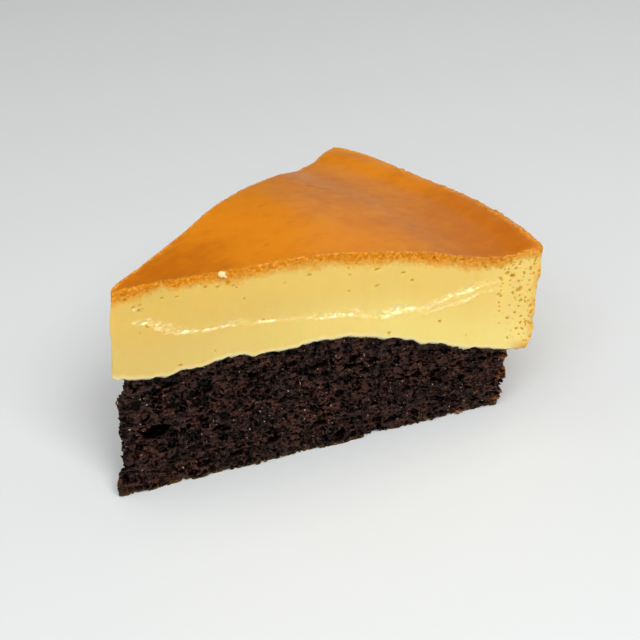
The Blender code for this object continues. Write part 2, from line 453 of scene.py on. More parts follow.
# %% Shape a mesh with a recipe
def with_relief(mesh, height_recipe, most_triangles, floor_height=None):
    """The mesh with its points moved out along their normals, and thinned."""
    tree = bpy.data.node_groups.new(mesh.name + "_relief", "GeometryNodeTree")
    tree.interface.new_socket("Geometry", in_out="INPUT", socket_type="NodeSocketGeometry")
    tree.interface.new_socket("Geometry", in_out="OUTPUT", socket_type="NodeSocketGeometry")
    start = add_node(tree, "NodeGroupInput")
    normal = add_node(tree, "GeometryNodeInputNormal").outputs["Normal"]
    step = add_node(
        tree, "ShaderNodeVectorMath", {0: normal, "Scale": height_recipe(tree)}, operation="SCALE")
    moved = add_node(
        tree, "GeometryNodeSetPosition",
        {"Geometry": start.outputs["Geometry"], "Offset": step.outputs["Vector"]})
    add_node(tree, "NodeGroupOutput", {"Geometry": moved.outputs["Geometry"]})
    mesh.calc_loop_triangles()
    before = len(mesh.loop_triangles)
    stand_in = bpy.data.objects.new("shaping", mesh)
    bpy.context.scene.collection.objects.link(stand_in)
    stand_in.modifiers.new("relief", "NODES").node_group = tree
    thin = stand_in.modifiers.new("thin", "DECIMATE")
    thin.ratio = min(1.0, most_triangles / before)
    thin.use_collapse_triangulate = True
    graph = bpy.context.evaluated_depsgraph_get()
    shaped = bpy.data.meshes.new_from_object(stand_in.evaluated_get(graph), depsgraph=graph)
    shaped.name = mesh.name
    bpy.data.objects.remove(stand_in)
    bpy.data.meshes.remove(mesh)
    if floor_height is not None:
        points = points_of(shaped)
        points[:, 2] = np.maximum(points[:, 2], floor_height)
        set_points(shaped, points)
    print(shaped.name, before, "triangles, thinned to", len(shaped.polygons))
    return shaped


# %% Put a piece in its place
def add_piece(name, mesh, material, node):
    """Puts a finished mesh, still in millimetres, in the place of a node."""
    mesh.transform(Matrix.Scale(MM, 4))
    mesh.materials.clear()
    mesh.materials.append(material)
    mesh.shade_smooth()
    piece = bpy.data.objects.new(name, mesh)
    bpy.context.scene.collection.objects.link(piece)
    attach(piece, "root")
    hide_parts(node)
    print(name, "takes the place of", node)


# %% [markdown]
# ## Chocolate cake
#
# A knife tears a cake more than it cuts it. Both cuts are open crumb: walls a
# third of a millimetre thick round pores about a millimetre wide, wider than
# they are high, with some big holes where bubbles joined. A foam like that
# fills space with irregular cells, one round each gas bubble, so the recipe
# measures how far a place lies from the nearest wall between such cells. Each
# cell has its own random depth, and cells of four sizes are added.

# %% The recipe for pores
PORE_SIZES = (
    # distance between pores, half thickness of the wall, depth, share that is open
    (3.30, 0.32, 1.70, 0.18),
    (1.90, 0.15, 1.30, 0.52),
    (1.10, 0.08, 0.80, 0.75),
    (0.62, 0.04, 0.14, 0.95),
)
PORE_FLATNESS = 1.60
PORE_DRIFT = 1.3
PORE_DRIFT_SIZE = 2.6
PORE_SLOPE = 0.10


def crumb_depth(tree, place):
    """How deep the pores are at a place, in millimetres."""
    drift = add_node(
        tree, "ShaderNodeTexNoise", {"Vector": place, "Scale": 1.0 / PORE_DRIFT_SIZE, "Detail": 1.0})
    bent = add_node(
        tree, "ShaderNodeVectorMath",
        {0: drift.outputs["Color"], 1: (PORE_DRIFT,) * 3, 2: place}, operation="MULTIPLY_ADD")
    flat = add_node(
        tree, "ShaderNodeVectorMath",
        {0: bent.outputs["Vector"], 1: (1.0, 1.0, PORE_FLATNESS)}, operation="MULTIPLY")
    total = 0.0
    for size, wall, depth, open_share in PORE_SIZES:
        inputs = {"Vector": flat.outputs["Vector"], "Scale": 1.0 / size}
        edge = add_node(tree, "ShaderNodeTexVoronoi", inputs, feature="DISTANCE_TO_EDGE")
        cell = add_node(tree, "ShaderNodeTexVoronoi", inputs, feature="F1")
        number = add_node(tree, "ShaderNodeSeparateXYZ", {0: cell.outputs["Color"]}).outputs["X"]
        hollow = add_node(
            tree, "ShaderNodeMapRange",
            {0: edge.outputs["Distance"], 1: wall / size, 2: wall / size + PORE_SLOPE}, **SMOOTH)
        deep = add_node(
            tree, "ShaderNodeMapRange",
            {0: number, 1: 1.0 - open_share, 2: 1.25 - open_share, 3: 0.0, 4: depth}, **SMOOTH)
        total = add_node(tree, "ShaderNodeMath", {0: hollow, 1: deep, 2: total}, operation="MULTIPLY_ADD")
    return total


print("pores of", len(PORE_SIZES), "sizes, up to", PORE_SIZES[0][2], "mm deep")

# %% [markdown]
# The big holes that show most on the front cut are dug where they lie, and the
# back cut has the same holes in the opposite order. The batter rose unevenly
# under the custard, so their border is lumpy.

# %% Holes and lumps
BIG_HOLES = (
    # radius and height of the hole on the front cut, its width, height and depth
    (10.3, 18.5, 7.2, 4.2, 3.6), (20.8, 14.7, 3.6, 2.6, 1.2), (5.6, 14.6, 2.2, 2.4, 1.4),
    (14.6, 32.0, 3.4, 1.4, 1.6), (20.9, 26.9, 2.8, 1.8, 1.5), (24.7, 27.8, 3.0, 1.8, 1.5),
    (5.2, 28.1, 2.6, 2.8, 1.0), (10.8, 30.9, 3.2, 1.8, 1.5), (27.3, 14.6, 4.0, 1.6, 1.5),
    (14.7, 25.5, 2.4, 1.6, 1.3), (23.5, 18.6, 2.6, 1.4, 1.3), (21.9, 24.1, 3.0, 1.2, 1.2),
    (14.8, 13.9, 3.2, 1.4, 1.3), (37.0, 28.6, 3.0, 1.8, 1.7), (42.8, 7.3, 3.6, 2.0, 1.7),
    (32.3, 4.9, 3.6, 2.0, 1.6), (55.2, 9.1, 2.4, 1.6, 1.4), (48.0, 29.8, 2.6, 1.6, 1.5),
    (55.2, 27.3, 4.2, 1.5, 1.6), (65.5, 26.9, 2.6, 1.6, 1.5), (70.8, 24.9, 2.6, 1.8, 1.6),
    (68.7, 22.2, 2.2, 1.4, 1.4), (51.0, 26.5, 3.2, 1.5, 1.4), (58.0, 19.2, 2.6, 1.3, 1.3),
    (67.1, 16.5, 2.2, 1.3, 1.3), (57.0, 8.3, 2.4, 1.4, 1.4), (62.2, 3.5, 3.0, 2.0, 1.8),
    (45.2, 19.1, 2.4, 1.4, 1.3), (84.0, 17.0, 2.6, 1.4, 1.4), (98.0, 12.5, 2.4, 1.4, 1.4),
)
# how much a hole climbs along the cut, the radius where the back cut's holes start,
# and the share of the angle from which on a place lies on a cut
HOLE_SLANT = 0.12
BACK_CUT_START = 108.0
ON_CUT = 0.99
BORDER_LUMPS = (
    # height, distance between lumps, and the pattern's number
    (0.85, 6.0, 21), (0.60, 2.6, 22),
)


def interface_height(x, y):
    """Where custard meets cake: the model's surface with the batter's small lumps."""
    level = in_plan(x, y)
    lumps = layered_noise(level, BORDER_LUMPS)
    at_tip = np.exp(-np.hypot(x, y) / 1.6)
    return cake_top(x, y) + lumps * (1.0 - at_tip) + 1.3 * at_tip + 0.25 * soft_noise(level, 1.1, 23)


def placed_holes(holes, radius, share, height, slant):
    """Depth of the holes placed by hand on the front cut, and on the back cut from its far end."""
    depth = np.zeros(len(radius))
    from_end = np.where(share > 0.0, BACK_CUT_START - radius, radius)
    for hole_radius, hole_height, width, tall, deep in holes:
        across = (from_end - hole_radius) / (width / 2)
        up = (height - hole_height - slant * (from_end - hole_radius)) / (tall / 2)
        inside = np.maximum(1.0 - across**2 - up**2, 0.0)
        depth = np.maximum(depth, deep * np.sqrt(inside))
    return depth * (np.abs(share) > ON_CUT)


print(len(BIG_HOLES), "large holes, up to", max(hole[4] for hole in BIG_HOLES), "mm deep")

# %% Shape the cake
CAKE_SPACING = 0.27
CAKE_ROWS = (26, 132, 8)
CAKE_SUNK = 0.5
RIM_WEAR = 1.8
TIP_WEAR = (
    # height, and how far the cake's tip has crumbled away there
    (0.0, -1.0), (2.3, -1.4), (6.0, -0.7), (8.7, 0.2), (11.6, -0.4), (15.0, 0.4), (19.0, 0.2),
    (25.0, 0.7), (28.0, 0.2), (29.3, 0.5), (30.4, 3.0), (33.0, 3.6), (35.4, 3.2), (37.0, 0.8),
)

cake_mesh, fraction, share, rise, under, over = skin_grid(
    "chocolate_cake", CAKE_RADIUS, CAKE_SPACING, *CAKE_ROWS)
inwards = (under + over) ** 1.6
# the upright side: ragged, crumbled at the tip and rounded at the rim's foot
radius = fraction * CAKE_RADIUS
wall_height = along(CAKE_PROFILE, radius)
ragged = bump(CAKE_SIDE_BUMPS, radius, CAKE_RADIUS * share * HALF_ANGLE, rise * wall_height)
wear = along(TIP_WEAR, rise * wall_height)
rounded = RIM_WEAR * (1.0 - smoothstep(rise * wall_height, 0.0, 8.0))
ragged_rim = (ragged - rounded) * smoothstep(fraction, 0.9, 1.0)
x, y = plan_place(radius + ragged_rim, share, ragged, TIP_OFFSET + wear, TIP_FADE + 0.4 * np.abs(wear))
# the top and the bottom close in to the middle
x, y = towards_middle(x, y, CAKE_RADIUS, inwards)
height = rise * (interface_height(x, y) + CAKE_SUNK)
set_points(cake_mesh, leaned(x, y, height))
print("the cake is up to", round(height.max() - CAKE_SUNK, 1), "mm high")

# %% [markdown]
# The tip and the rim are more torn than the cuts, so their lumps are larger.
# The crumb at the very tip is too thin for pores, and a large hole has a smooth
# inside, so both keep their own shape. The rim was the cake's baked outside,
# and its crust is left in patches.

# %% Tear the cake
CAKE_LUMPS = (
    # height, distance between lumps, and the pattern's number
    (0.40, 5.5, 71), (0.38, 2.3, 72), (0.30, 1.1, 73),
)
CAKE_STANDS_OUT = 0.55
PORES_INWARDS = -1.0
SMOOTH_PORES = -0.15
CAKE_TRIANGLES = 198000

points = points_of(cake_mesh)
store(cake_mesh, "place", points)
on_side = inwards == 0.0
holes = placed_holes(BIG_HOLES, radius, share, height, HOLE_SLANT) * on_side
# lumps everywhere on the side, larger ones where the cake is torn, fine ones at the tip
lumps = layered_noise(points, CAKE_LUMPS)
torn = np.maximum(smoothstep(fraction, 0.985, 1.0), np.exp(-radius / 5.0))
torn_lumps = soft_noise(points, 3.4, 74)
lumps += torn * ((0.65 + 0.5 * fraction) * torn_lumps + 0.45 * soft_noise(points, 1.7, 75))
lumps += 0.35 * np.exp(-radius / 4.0) * soft_noise(points, 0.9, 76)
# what the relief and the material read
store(cake_mesh, "dug", holes)
store(cake_mesh, "smooth", np.maximum(smoothstep(holes, 0.2, 0.9), 0.7 * np.exp(-radius / 2.2)))
crust = np.maximum(smoothstep(fraction, 0.975, 1.0), 0.14 * np.exp(-radius / 2.5))
store(cake_mesh, "crust", on_side * crust * smoothstep(torn_lumps, -0.1, 0.3))
outwards = (CAKE_STANDS_OUT + lumps) * on_side - holes
set_points(cake_mesh, points + normals_of(cake_mesh) * outwards[:, None])
merged(cake_mesh)


def cake_relief(tree):
    """How far the cake's points move out: inwards, by the pores' depth."""
    place = add_node(tree, "GeometryNodeInputNamedAttribute", {"Name": "place"}, data_type="FLOAT_VECTOR")
    smooth = add_node(tree, "GeometryNodeInputNamedAttribute", {"Name": "smooth"}, data_type="FLOAT")
    share = add_node(
        tree, "ShaderNodeMapRange", {0: smooth, 1: 0.0, 2: 1.0, 3: PORES_INWARDS, 4: SMOOTH_PORES},
        **SMOOTH)
    return add_node(tree, "ShaderNodeMath", {0: crumb_depth(tree, place), 1: share}, operation="MULTIPLY")


cake_mesh = with_relief(cake_mesh, cake_relief, CAKE_TRIANGLES, floor_height=0.0)

# %% [markdown]
# Cocoa sponge is matt, and its torn walls are a warm brown, redder in some
# places than in others. The dark of its pores and big holes is painted shade,
# nearly black, and a few pale specks are painted glints. Here and below, the
# places that the meshes store are in millimetres, so the scale of a noise is
# one over the distance between its hills.

# %% Cocoa sponge
cocoa_sponge, tree, shader = new_material("baked_cocoa_sponge")
place = add_node(tree, "ShaderNodeAttribute", attribute_name="place").outputs["Vector"]
dug = add_node(tree, "ShaderNodeAttribute", attribute_name="dug").outputs["Fac"]
depth = add_node(tree, "ShaderNodeMath", {0: crumb_depth(tree, place), 1: dug}, operation="ADD")
patches = add_node(tree, "ShaderNodeTexNoise", {"Vector": place, "Scale": 1.0 / 5.0})
grains = add_node(tree, "ShaderNodeTexNoise", {"Vector": place, "Scale": 1.0 / 0.6, "Detail": 3.0})
# the walls between the pores: two browns, and painted shade where the grains dip
wall = passing(tree, patches, 0.35, 0.68, linear("33201B"), linear("522E22"))
wall = passing(tree, grains, 0.30, 0.56, linear("291812"), wall)
# what is left of the baked crust
crust_spots = add_node(tree, "ShaderNodeTexNoise", {"Vector": place, "Scale": 1.0 / 1.2})
browned = add_node(tree, "ShaderNodeMapRange", {0: crust_spots, 1: 0.36, 2: 0.56}, **SMOOTH)
crust_share = add_node(tree, "ShaderNodeAttribute", attribute_name="crust").outputs["Fac"]
baked = add_node(tree, "ShaderNodeMath", {0: crust_share, 1: browned}, operation="MULTIPLY")
wall = add_node(tree, "ShaderNodeMix", {0: baked, 6: wall, 7: linear("985A20")}, **COLOURS).outputs[2]
# painted light on the foot, painted glints, and painted shade in the pores
from_floor = add_node(tree, "ShaderNodeSeparateXYZ", {0: place}).outputs["Z"]
# painted light from the floor: the foot is lighter and yellower
wall = passing(tree, from_floor, 0.3, 1.6, wall, linear("5A4416"), 0.75, 0.0)
# pale specks that are painted glints
painted_sponge_glints = add_node(tree, "ShaderNodeTexNoise", {"Vector": place, "Scale": 1.0 / 0.42, "Detail": 0.0})
wall = passing(tree, painted_sponge_glints, 0.78, 0.84, wall, linear("E0C4B0"))
brown = passing(tree, depth, 0.0, 0.8, wall, linear("050201"))
# the shade of relief that is finer than the mesh
sunk = add_node(tree, "ShaderNodeMath", {0: depth, 1: -0.9}, operation="MULTIPLY")
height = add_node(tree, "ShaderNodeMath", {0: grains, 1: 0.45, 2: sunk}, operation="MULTIPLY_ADD")
grain_bump = add_node(tree, "ShaderNodeBump", {"Strength": 1.0, "Distance": MM, "Height": height})
set_inputs(tree, shader, {
    "Base Color": brown, "Normal": grain_bump, "Roughness": 0.36, "Specular IOR Level": 0.18})
add_piece("cake_sponge", cake_mesh, cocoa_sponge, "chocolate_cake")

# %% [markdown]
# ## Egg custard and caramel
#
# Caramel lined the bottom of the tin, melted into the custard as it baked and
# came out on top. The two have no sharp border at a cut: an orange band below
# the top fades through tan into the custard's yellow. So the band belongs to
# the custard's mesh, where the caramel's own mesh thins out to a skin, and its
# colour depends on how far a place lies below the top, above the cake and from
# the tip. Both meshes share the recipes for bubbles and for broken crust.

# %% [markdown]
# ## The custard's shape
#
# The custard was cut clean and wet. Its face is smooth, with the slow waves
# that the knife left and one crease along it, where the blade dragged and the
# face steps back by up to a millimetre. A shorter crease runs below it near the
# rim. Liquid gathered on their ledges, with pale specks of painted glints. Bubbles
# sit under the caramel and, in numbers, near the rim, where the custard was hottest.

# %% Creases along the cut
CREASE_WANDER = 0.28
CREASES = (
    # for each crease, along the cut: radius and height, and radius and how far the face steps back
    (
        ((0.0, 53.0), (4.8, 52.7), (7.0, 51.9), (8.2, 51.7), (10.4, 51.3), (11.1, 50.3),
         (13.0, 49.9), (13.8, 48.8), (15.6, 48.4), (16.4, 47.3), (18.4, 46.9), (22.4, 46.0),
         (38.0, 44.7), (49.0, 43.4), (54.5, 41.9), (60.0, 41.5), (67.0, 40.1), (73.0, 38.3),
         (80.0, 37.3), (86.0, 37.2), (87.5, 37.8), (91.0, 37.9), (92.5, 38.6), (96.5, 38.7),
         (98.0, 39.3), (103.0, 39.5), (107.0, 40.0), (120.0, 40.5)),
        ((0.0, 0.0), (5.0, 0.15), (8.0, 0.95), (17.5, 0.95), (21.0, 0.55), (40.0, 0.60), (62.0, 0.75),
         (74.0, 1.10), (92.0, 1.05), (102.0, 0.80), (109.0, 0.0), (120.0, 0.0)),
    ),
    (
        ((0.0, 35.0), (84.0, 35.6), (90.0, 36.0), (98.0, 36.9), (107.0, 37.6), (120.0, 38.0)),
        ((0.0, 0.0), (82.0, 0.0), (87.0, 0.50), (102.0, 0.45), (108.0, 0.0), (120.0, 0.0)),
    ),
)


def over_crease(radius, height, line, depths):
    """How far up a crease's sloping ledge a place is, from -1 to 1, and the ledge's depth."""
    depth = np.interp(radius, *np.array(depths).T)
    level = in_plan(radius, np.zeros(len(radius)))
    wander = soft_noise(level, 6.0, 91) + 0.6 * soft_noise(level, 2.3, 92)
    depth = depth * np.clip(0.90 + 0.35 * soft_noise(level, 3.5, 93), 0.5, 1.0)
    half_width = 0.12 + 0.80 * depth
    return (height - along(line, radius) - CREASE_WANDER * wander) / half_width, depth


def face_offset(radius, height, foot):
    """How far the custard's cut stands out, with its sag and its crease."""
    sag = 0.8 * (1.0 - smoothstep(height - foot, 0.0, 9.0))
    offset = 0.35 + sag
    for crease in CREASES:
        up_ledge, depth = over_crease(radius, height, *crease)
        returned = 1.0 - 0.8 * smoothstep(up_ledge, 3.0, 18.0)
        offset = offset - depth * smoothstep(up_ledge, -1.0, 1.0) * returned
    return offset


print(len(CREASES), "creases")

# %% Round the corners
CORNER_ROUNDING = 0.35


def corner_inset(fraction, share):
    """How far the cuts and the rim draw in to round the upright corners between them."""
    to_rim = (1.0 - fraction) * FLAN_RADIUS
    to_cut = fraction * FLAN_RADIUS * HALF_ANGLE * (1.0 - np.abs(share))
    return CORNER_ROUNDING * np.exp(-(to_rim + to_cut) / 0.9)


print("each corner draws in by", corner_inset(1.0, 1.0), "mm")

# %% Shape the custard
FLAN_SPACING = 0.27
FLAN_ROWS = (16, 104, 8)
SKIN_EDGE = 0.10
FOOT_ROUNDING = 4.4
FOOT_HEIGHT = 7.5
LOWER_EDGE_ROUNDING = 0.7
TOP_TIP_OFFSET = 0.95
TIP_SINK = 1.5


def custard_top(x, y):
    """Height of the finished top, which is worn down right at the tip."""
    return slice_top(x, y) - TIP_SINK * np.exp(-np.hypot(x, y) / 1.6)


def skin_thickness(x, y, inside):
    """The caramel's thickness: thin at its edge, and the model's own further inside."""
    full = CARAMEL_THICKNESS + bump(CARAMEL_BUMPS, x, y)
    return SKIN_EDGE + (full - SKIN_EDGE) * inside


flan_mesh, fraction, share, rise, under, over = skin_grid(
    "flan_custard", FLAN_RADIUS, FLAN_SPACING, *FLAN_ROWS)
# each column's place along the cut, and its height between cake and top
radius = fraction * flan_radius(share)
foot = along(CAKE_PROFILE, radius)
roof = along(TOP_PROFILE, radius)
height = foot + rise * (roof - foot)
above_cake = height - foot
# the rim's foot tucks in, the lower edge and the upright corners are rounded
up_foot = np.minimum(1.0, above_cake / FOOT_HEIGHT)
at_rim = smoothstep(fraction, 0.96, 1.0)
tucked = FOOT_ROUNDING * (1.0 - np.sqrt(1.0 - (1.0 - up_foot) ** 2)) * at_rim
edge = LOWER_EDGE_ROUNDING * (1.0 - smoothstep(above_cake, 0.0, 1.2)) ** 2
wavy = bump(FLAN_SIDE_BUMPS, radius, CAKE_RADIUS * share * HALF_ANGLE, above_cake)
inset = corner_inset(fraction, share)
# the tip is blunter near the top
tip_offset = TOP_TIP_OFFSET - 0.9 * (1.0 - smoothstep(above_cake, 16.0, 26.0))
tip_offset -= 0.35 * (1.0 - smoothstep(above_cake, 0.0, 12.0))
cut_offset = face_offset(radius, height, foot) + wavy - edge - inset
x, y = plan_place(radius - tucked - inset, share, cut_offset, tip_offset)
x, y = towards_middle(x, y, FLAN_RADIUS, (under + over) ** 2)
low = interface_height(x, y)
high = custard_top(x, y)
z = low + rise * (high - skin_thickness(x, y, smoothstep(over, 0.0, 0.3)) - low)
set_points(flan_mesh, leaned(x, y, z))
print("the custard is", round((high - low).min()), "to", round((high - low).max()), "mm thick")

# %% [markdown]
# The ledges are wet, and so is a small pool near the tip. Liquid on them stands
# in ripples, drawn out along the cut. The band below the caramel is grainy and
# the rim is rough. How wet or grainy a place is stays on the mesh, where the
# material reads it.

# %% Wet places
# radius and height of the small pool, and how far it reaches along and up
POOL = (6.7, 55.9)
POOL_REACH = (1.8, 1.1)
BACK_CUT_WETNESS = 0.75

points = points_of(flan_mesh)
store(flan_mesh, "place", points)
wet = np.zeros(len(radius))
for crease in CREASES:
    up_ledge, depth = over_crease(radius, height, *crease)
    wet = np.maximum(wet, np.exp(-np.abs((up_ledge - 0.3) / 1.7) ** 3) * smoothstep(depth, 0.0, 0.3))
wet = wet * (np.abs(share) > ON_CUT) * np.where(share > 0.0, BACK_CUT_WETNESS, 1.0)
pool_across = (radius - POOL[0]) / POOL_REACH[0]
pool_up = (height - POOL[1]) / POOL_REACH[1]
wet = np.maximum(wet, np.exp(-(pool_across**2) - pool_up**2))
wet = wet * np.clip(0.85 + 0.60 * soft_noise(points, 3.0, 94), 0.0, 1.0)
print(round(100 * (wet > 0.5).mean(), 1), "% of the custard's points are wet")

# %% Ripples, grains and dents
KNIFE_WAVES = (
    # height, distance between hills, and the pattern's number, here and in the next lists
    (0.14, 11.0, 81), (0.05, 3.4, 82),
)
WET_RIPPLES = ((0.19, 1.0, 101), (0.12, 0.5, 102))
BAND_GRAINS = ((0.12, 1.5, 103), (0.12, 0.7, 104))
RIM_LUMPS = ((0.35, 2.6, 83), (0.25, 1.2, 84))
DRAWN_OUT = (0.45, 0.45, 1.0)
FACE_DENTS = (
    # radius and height of the dent on the front cut, its width, height and depth
    (52.0, 55.2, 1.4, 0.8, 0.40), (70.6, 52.9, 1.7, 0.8, 0.40), (70.9, 47.9, 1.6, 0.8, 0.30),
    (63.0, 53.0, 1.1, 0.6, 0.25), (78.2, 49.4, 1.3, 0.7, 0.35), (80.9, 46.5, 1.1, 0.8, 0.35),
    (62.6, 55.1, 1.0, 0.6, 0.30), (45.3, 54.8, 1.0, 0.6, 0.20), (13.4, 57.5, 1.2, 0.6, 0.35),
    (17.2, 57.1, 1.3, 0.6, 0.30), (4.1, 59.1, 1.3, 0.7, 0.40), (27.6, 57.7, 1.2, 0.6, 0.35),
    (31.8, 57.0, 1.2, 0.6, 0.30), (7.8, 56.9, 1.2, 0.7, 0.30), (106.8, 36.0, 1.4, 0.9, 0.35),
    (108.7, 41.7, 1.5, 1.1, 0.60), (110.6, 40.4, 1.3, 1.0, 0.50), (112.8, 35.5, 1.6, 1.2, 0.60),
    (6.2, 56.5, 1.2, 0.8, 0.45), (7.4, 55.4, 1.2, 0.8, 0.45),
)

on_side = (under == 0.0) & (over == 0.0)
on_rim = smoothstep(fraction, 0.99, 1.0)
below = high - z
grainy = 0.8 * np.exp(-((below / 2.2) ** 2))
rough_rim = on_rim * smoothstep(below, 0.2, 2.0)
waves = layered_noise(points, KNIFE_WAVES)
waves += wet * layered_noise(points * DRAWN_OUT, WET_RIPPLES)
waves += grainy * layered_noise(points, BAND_GRAINS)
waves += rough_rim * layered_noise(points, RIM_LUMPS)
dents = placed_holes(FACE_DENTS, radius, share, height, 0.0)
set_points(flan_mesh, points + normals_of(flan_mesh) * ((waves - dents) * on_side)[:, None])
print(len(FACE_DENTS), "dents, up to", max(dent[4] for dent in FACE_DENTS), "mm deep")

# %% [markdown]
# A cut through a bubble leaves a round pit. There are too many of them to place
# by hand, so space is again filled with random cells. Here, some of the cells
# hold one ball each, and a place is as deep as the ball reaches there. The mesh
# stores which share of the cells holds one, and the caramel has the same pits.

# %% The recipe for bubbles
BUBBLE_SIZES = (
    # what stores their number, distance between them, smallest and largest radius
    ("bubbly", 1.35, 0.26, 0.62),
    ("pitted", 0.85, 0.13, 0.36),
)
BUBBLE_DRIFT = 1.1
PITS_INWARDS = -0.6


def bubble_depth(tree, place, amounts):
    """Depth in millimetres of the round pits where a cut opened bubbles."""
    drift = add_node(
        tree, "ShaderNodeTexNoise", {"Vector": place, "Scale": 1.0 / BUBBLE_DRIFT, "Detail": 1.0})
    bent = add_node(
        tree, "ShaderNodeVectorMath",
        {0: drift.outputs["Color"], 1: (BUBBLE_DRIFT,) * 3, 2: place}, operation="MULTIPLY_ADD")
    deepest = 0.0
    for (name, size, smallest, largest), amount in zip(BUBBLE_SIZES, amounts):
        inputs = {"Vector": bent.outputs["Vector"], "Scale": 1.0 / size}
        cell = add_node(tree, "ShaderNodeTexVoronoi", inputs, feature="F1")
        number = add_node(tree, "ShaderNodeSeparateXYZ", {0: cell.outputs["Color"]})
        there = add_node(
            tree, "ShaderNodeMath", {0: number.outputs["Y"], 1: amount}, operation="LESS_THAN")
        reach = add_node(
            tree, "ShaderNodeMath",
            {0: number.outputs["X"], 1: (largest - smallest) / size, 2: smallest / size},
            operation="MULTIPLY_ADD")
        reach = add_node(tree, "ShaderNodeMath", {0: reach, 1: there}, operation="MULTIPLY")
        away = add_node(tree, "ShaderNodeMath", {0: cell.outputs["Distance"], 1: 2.0}, operation="POWER")
        reach = add_node(tree, "ShaderNodeMath", {0: reach, 1: 2.0}, operation="POWER")
        inside = add_node(tree, "ShaderNodeMath", {0: reach, 1: away}, operation="SUBTRACT")
        inside = add_node(tree, "ShaderNodeMath", {0: inside, 1: 0.0}, operation="MAXIMUM")
        depth = add_node(tree, "ShaderNodeMath", {0: inside}, operation="SQRT")
        depth = add_node(tree, "ShaderNodeMath", {0: depth, 1: size}, operation="MULTIPLY")
        deepest = add_node(tree, "ShaderNodeMath", {0: deepest, 1: depth}, operation="MAXIMUM")
    return deepest


def bubble_relief(tree):
    """How far the custard's points move out: inwards, by the pits' depth."""
    place = add_node(tree, "GeometryNodeInputNamedAttribute", {"Name": "place"}, data_type="FLOAT_VECTOR")
    amounts = []
    for name, *sizes in BUBBLE_SIZES:
        amounts.append(
            add_node(tree, "GeometryNodeInputNamedAttribute", {"Name": name}, data_type="FLOAT"))
    return add_node(
        tree, "ShaderNodeMath", {0: bubble_depth(tree, place, amounts), 1: PITS_INWARDS},
        operation="MULTIPLY")


def bubble_shade(tree, place):
    """The same pits' depth, for a material."""
    amounts = []
    for name, *sizes in BUBBLE_SIZES:
        amounts.append(add_node(tree, "ShaderNodeAttribute", attribute_name=name).outputs["Fac"])
    return bubble_depth(tree, place, amounts)


print("bubbles of", len(BUBBLE_SIZES), "sizes, up to", 2 * BUBBLE_SIZES[0][3], "mm wide")

# %% Bubbles in the custard
FLAN_TRIANGLES = 195000

# bubbles start further out the deeper they lie, and are few at the foot and near the top
near_rim = smoothstep(radius, 97.0 + 0.40 * below, 109.0 + 0.35 * below)
near_rim *= smoothstep(above_cake, 1.0, 6.0)
near_rim *= 1.0 - 0.75 * np.exp(-((below / 2.0) ** 2))
in_band = smoothstep(below, 0.2, 0.6) * (1.0 - smoothstep(below, 1.8, 4.5))
store(flan_mesh, "bubbly", on_side * (0.006 + (1.0 - 0.45 * on_rim) * near_rim + 0.22 * in_band))
store(flan_mesh, "pitted", on_side * (0.02 + 0.45 * in_band + (0.20 + 0.25 * on_rim) * near_rim))
store(flan_mesh, "dug", on_side * dents * (1.0 - wet))
store(flan_mesh, "wet", on_side * wet)
store(flan_mesh, "grainy", on_side * grainy)
store(flan_mesh, "below_top", below)
store(flan_mesh, "above_foot", z - low)
store(flan_mesh, "from_tip", radius)
merged(flan_mesh)
flan_mesh = with_relief(flan_mesh, bubble_relief, FLAN_TRIANGLES)

# %% [markdown]
# Custard is milk and egg set by heat: smooth, wet and a little see-through, so
# light spreads a millimetre or two inside it and softens every edge. It is
# palest at its foot, where only milk and egg set, and a deeper gold towards the
# caramel and the rim, which browned it. Where liquid lies on it, it has a clear
# coat with fine beads, and pale specks that are painted glints.

# %% The recipe for broken crust
BROKEN_TINTS = (
    # how the share of each tint runs with the grain, from where to where, and the tint
    # the pale tint is painted glints
    (0.50, 0.64, 0.0, 1.0, "FFB648"),
    (0.34, 0.42, 0.8, 0.0, "B86C02"),
)


def broken_crust(tree, place, amount, colour):
    """The colour where the knife broke the crust: painted glints on its grains, browner between them."""
    grain = add_node(tree, "ShaderNodeTexNoise", {"Vector": place, "Scale": 1.0 / 0.8, "Detail": 3.0})
    for low, high, at_low, at_high, tint in BROKEN_TINTS:
        share = add_node(
            tree, "ShaderNodeMapRange", {0: grain, 1: low, 2: high, 3: at_low, 4: at_high}, **SMOOTH)
        share = add_node(tree, "ShaderNodeMath", {0: share, 1: amount}, operation="MULTIPLY")
        colour = add_node(
            tree, "ShaderNodeMix", {0: share, 6: colour, 7: linear(tint)}, **COLOURS).outputs[2]
    return colour


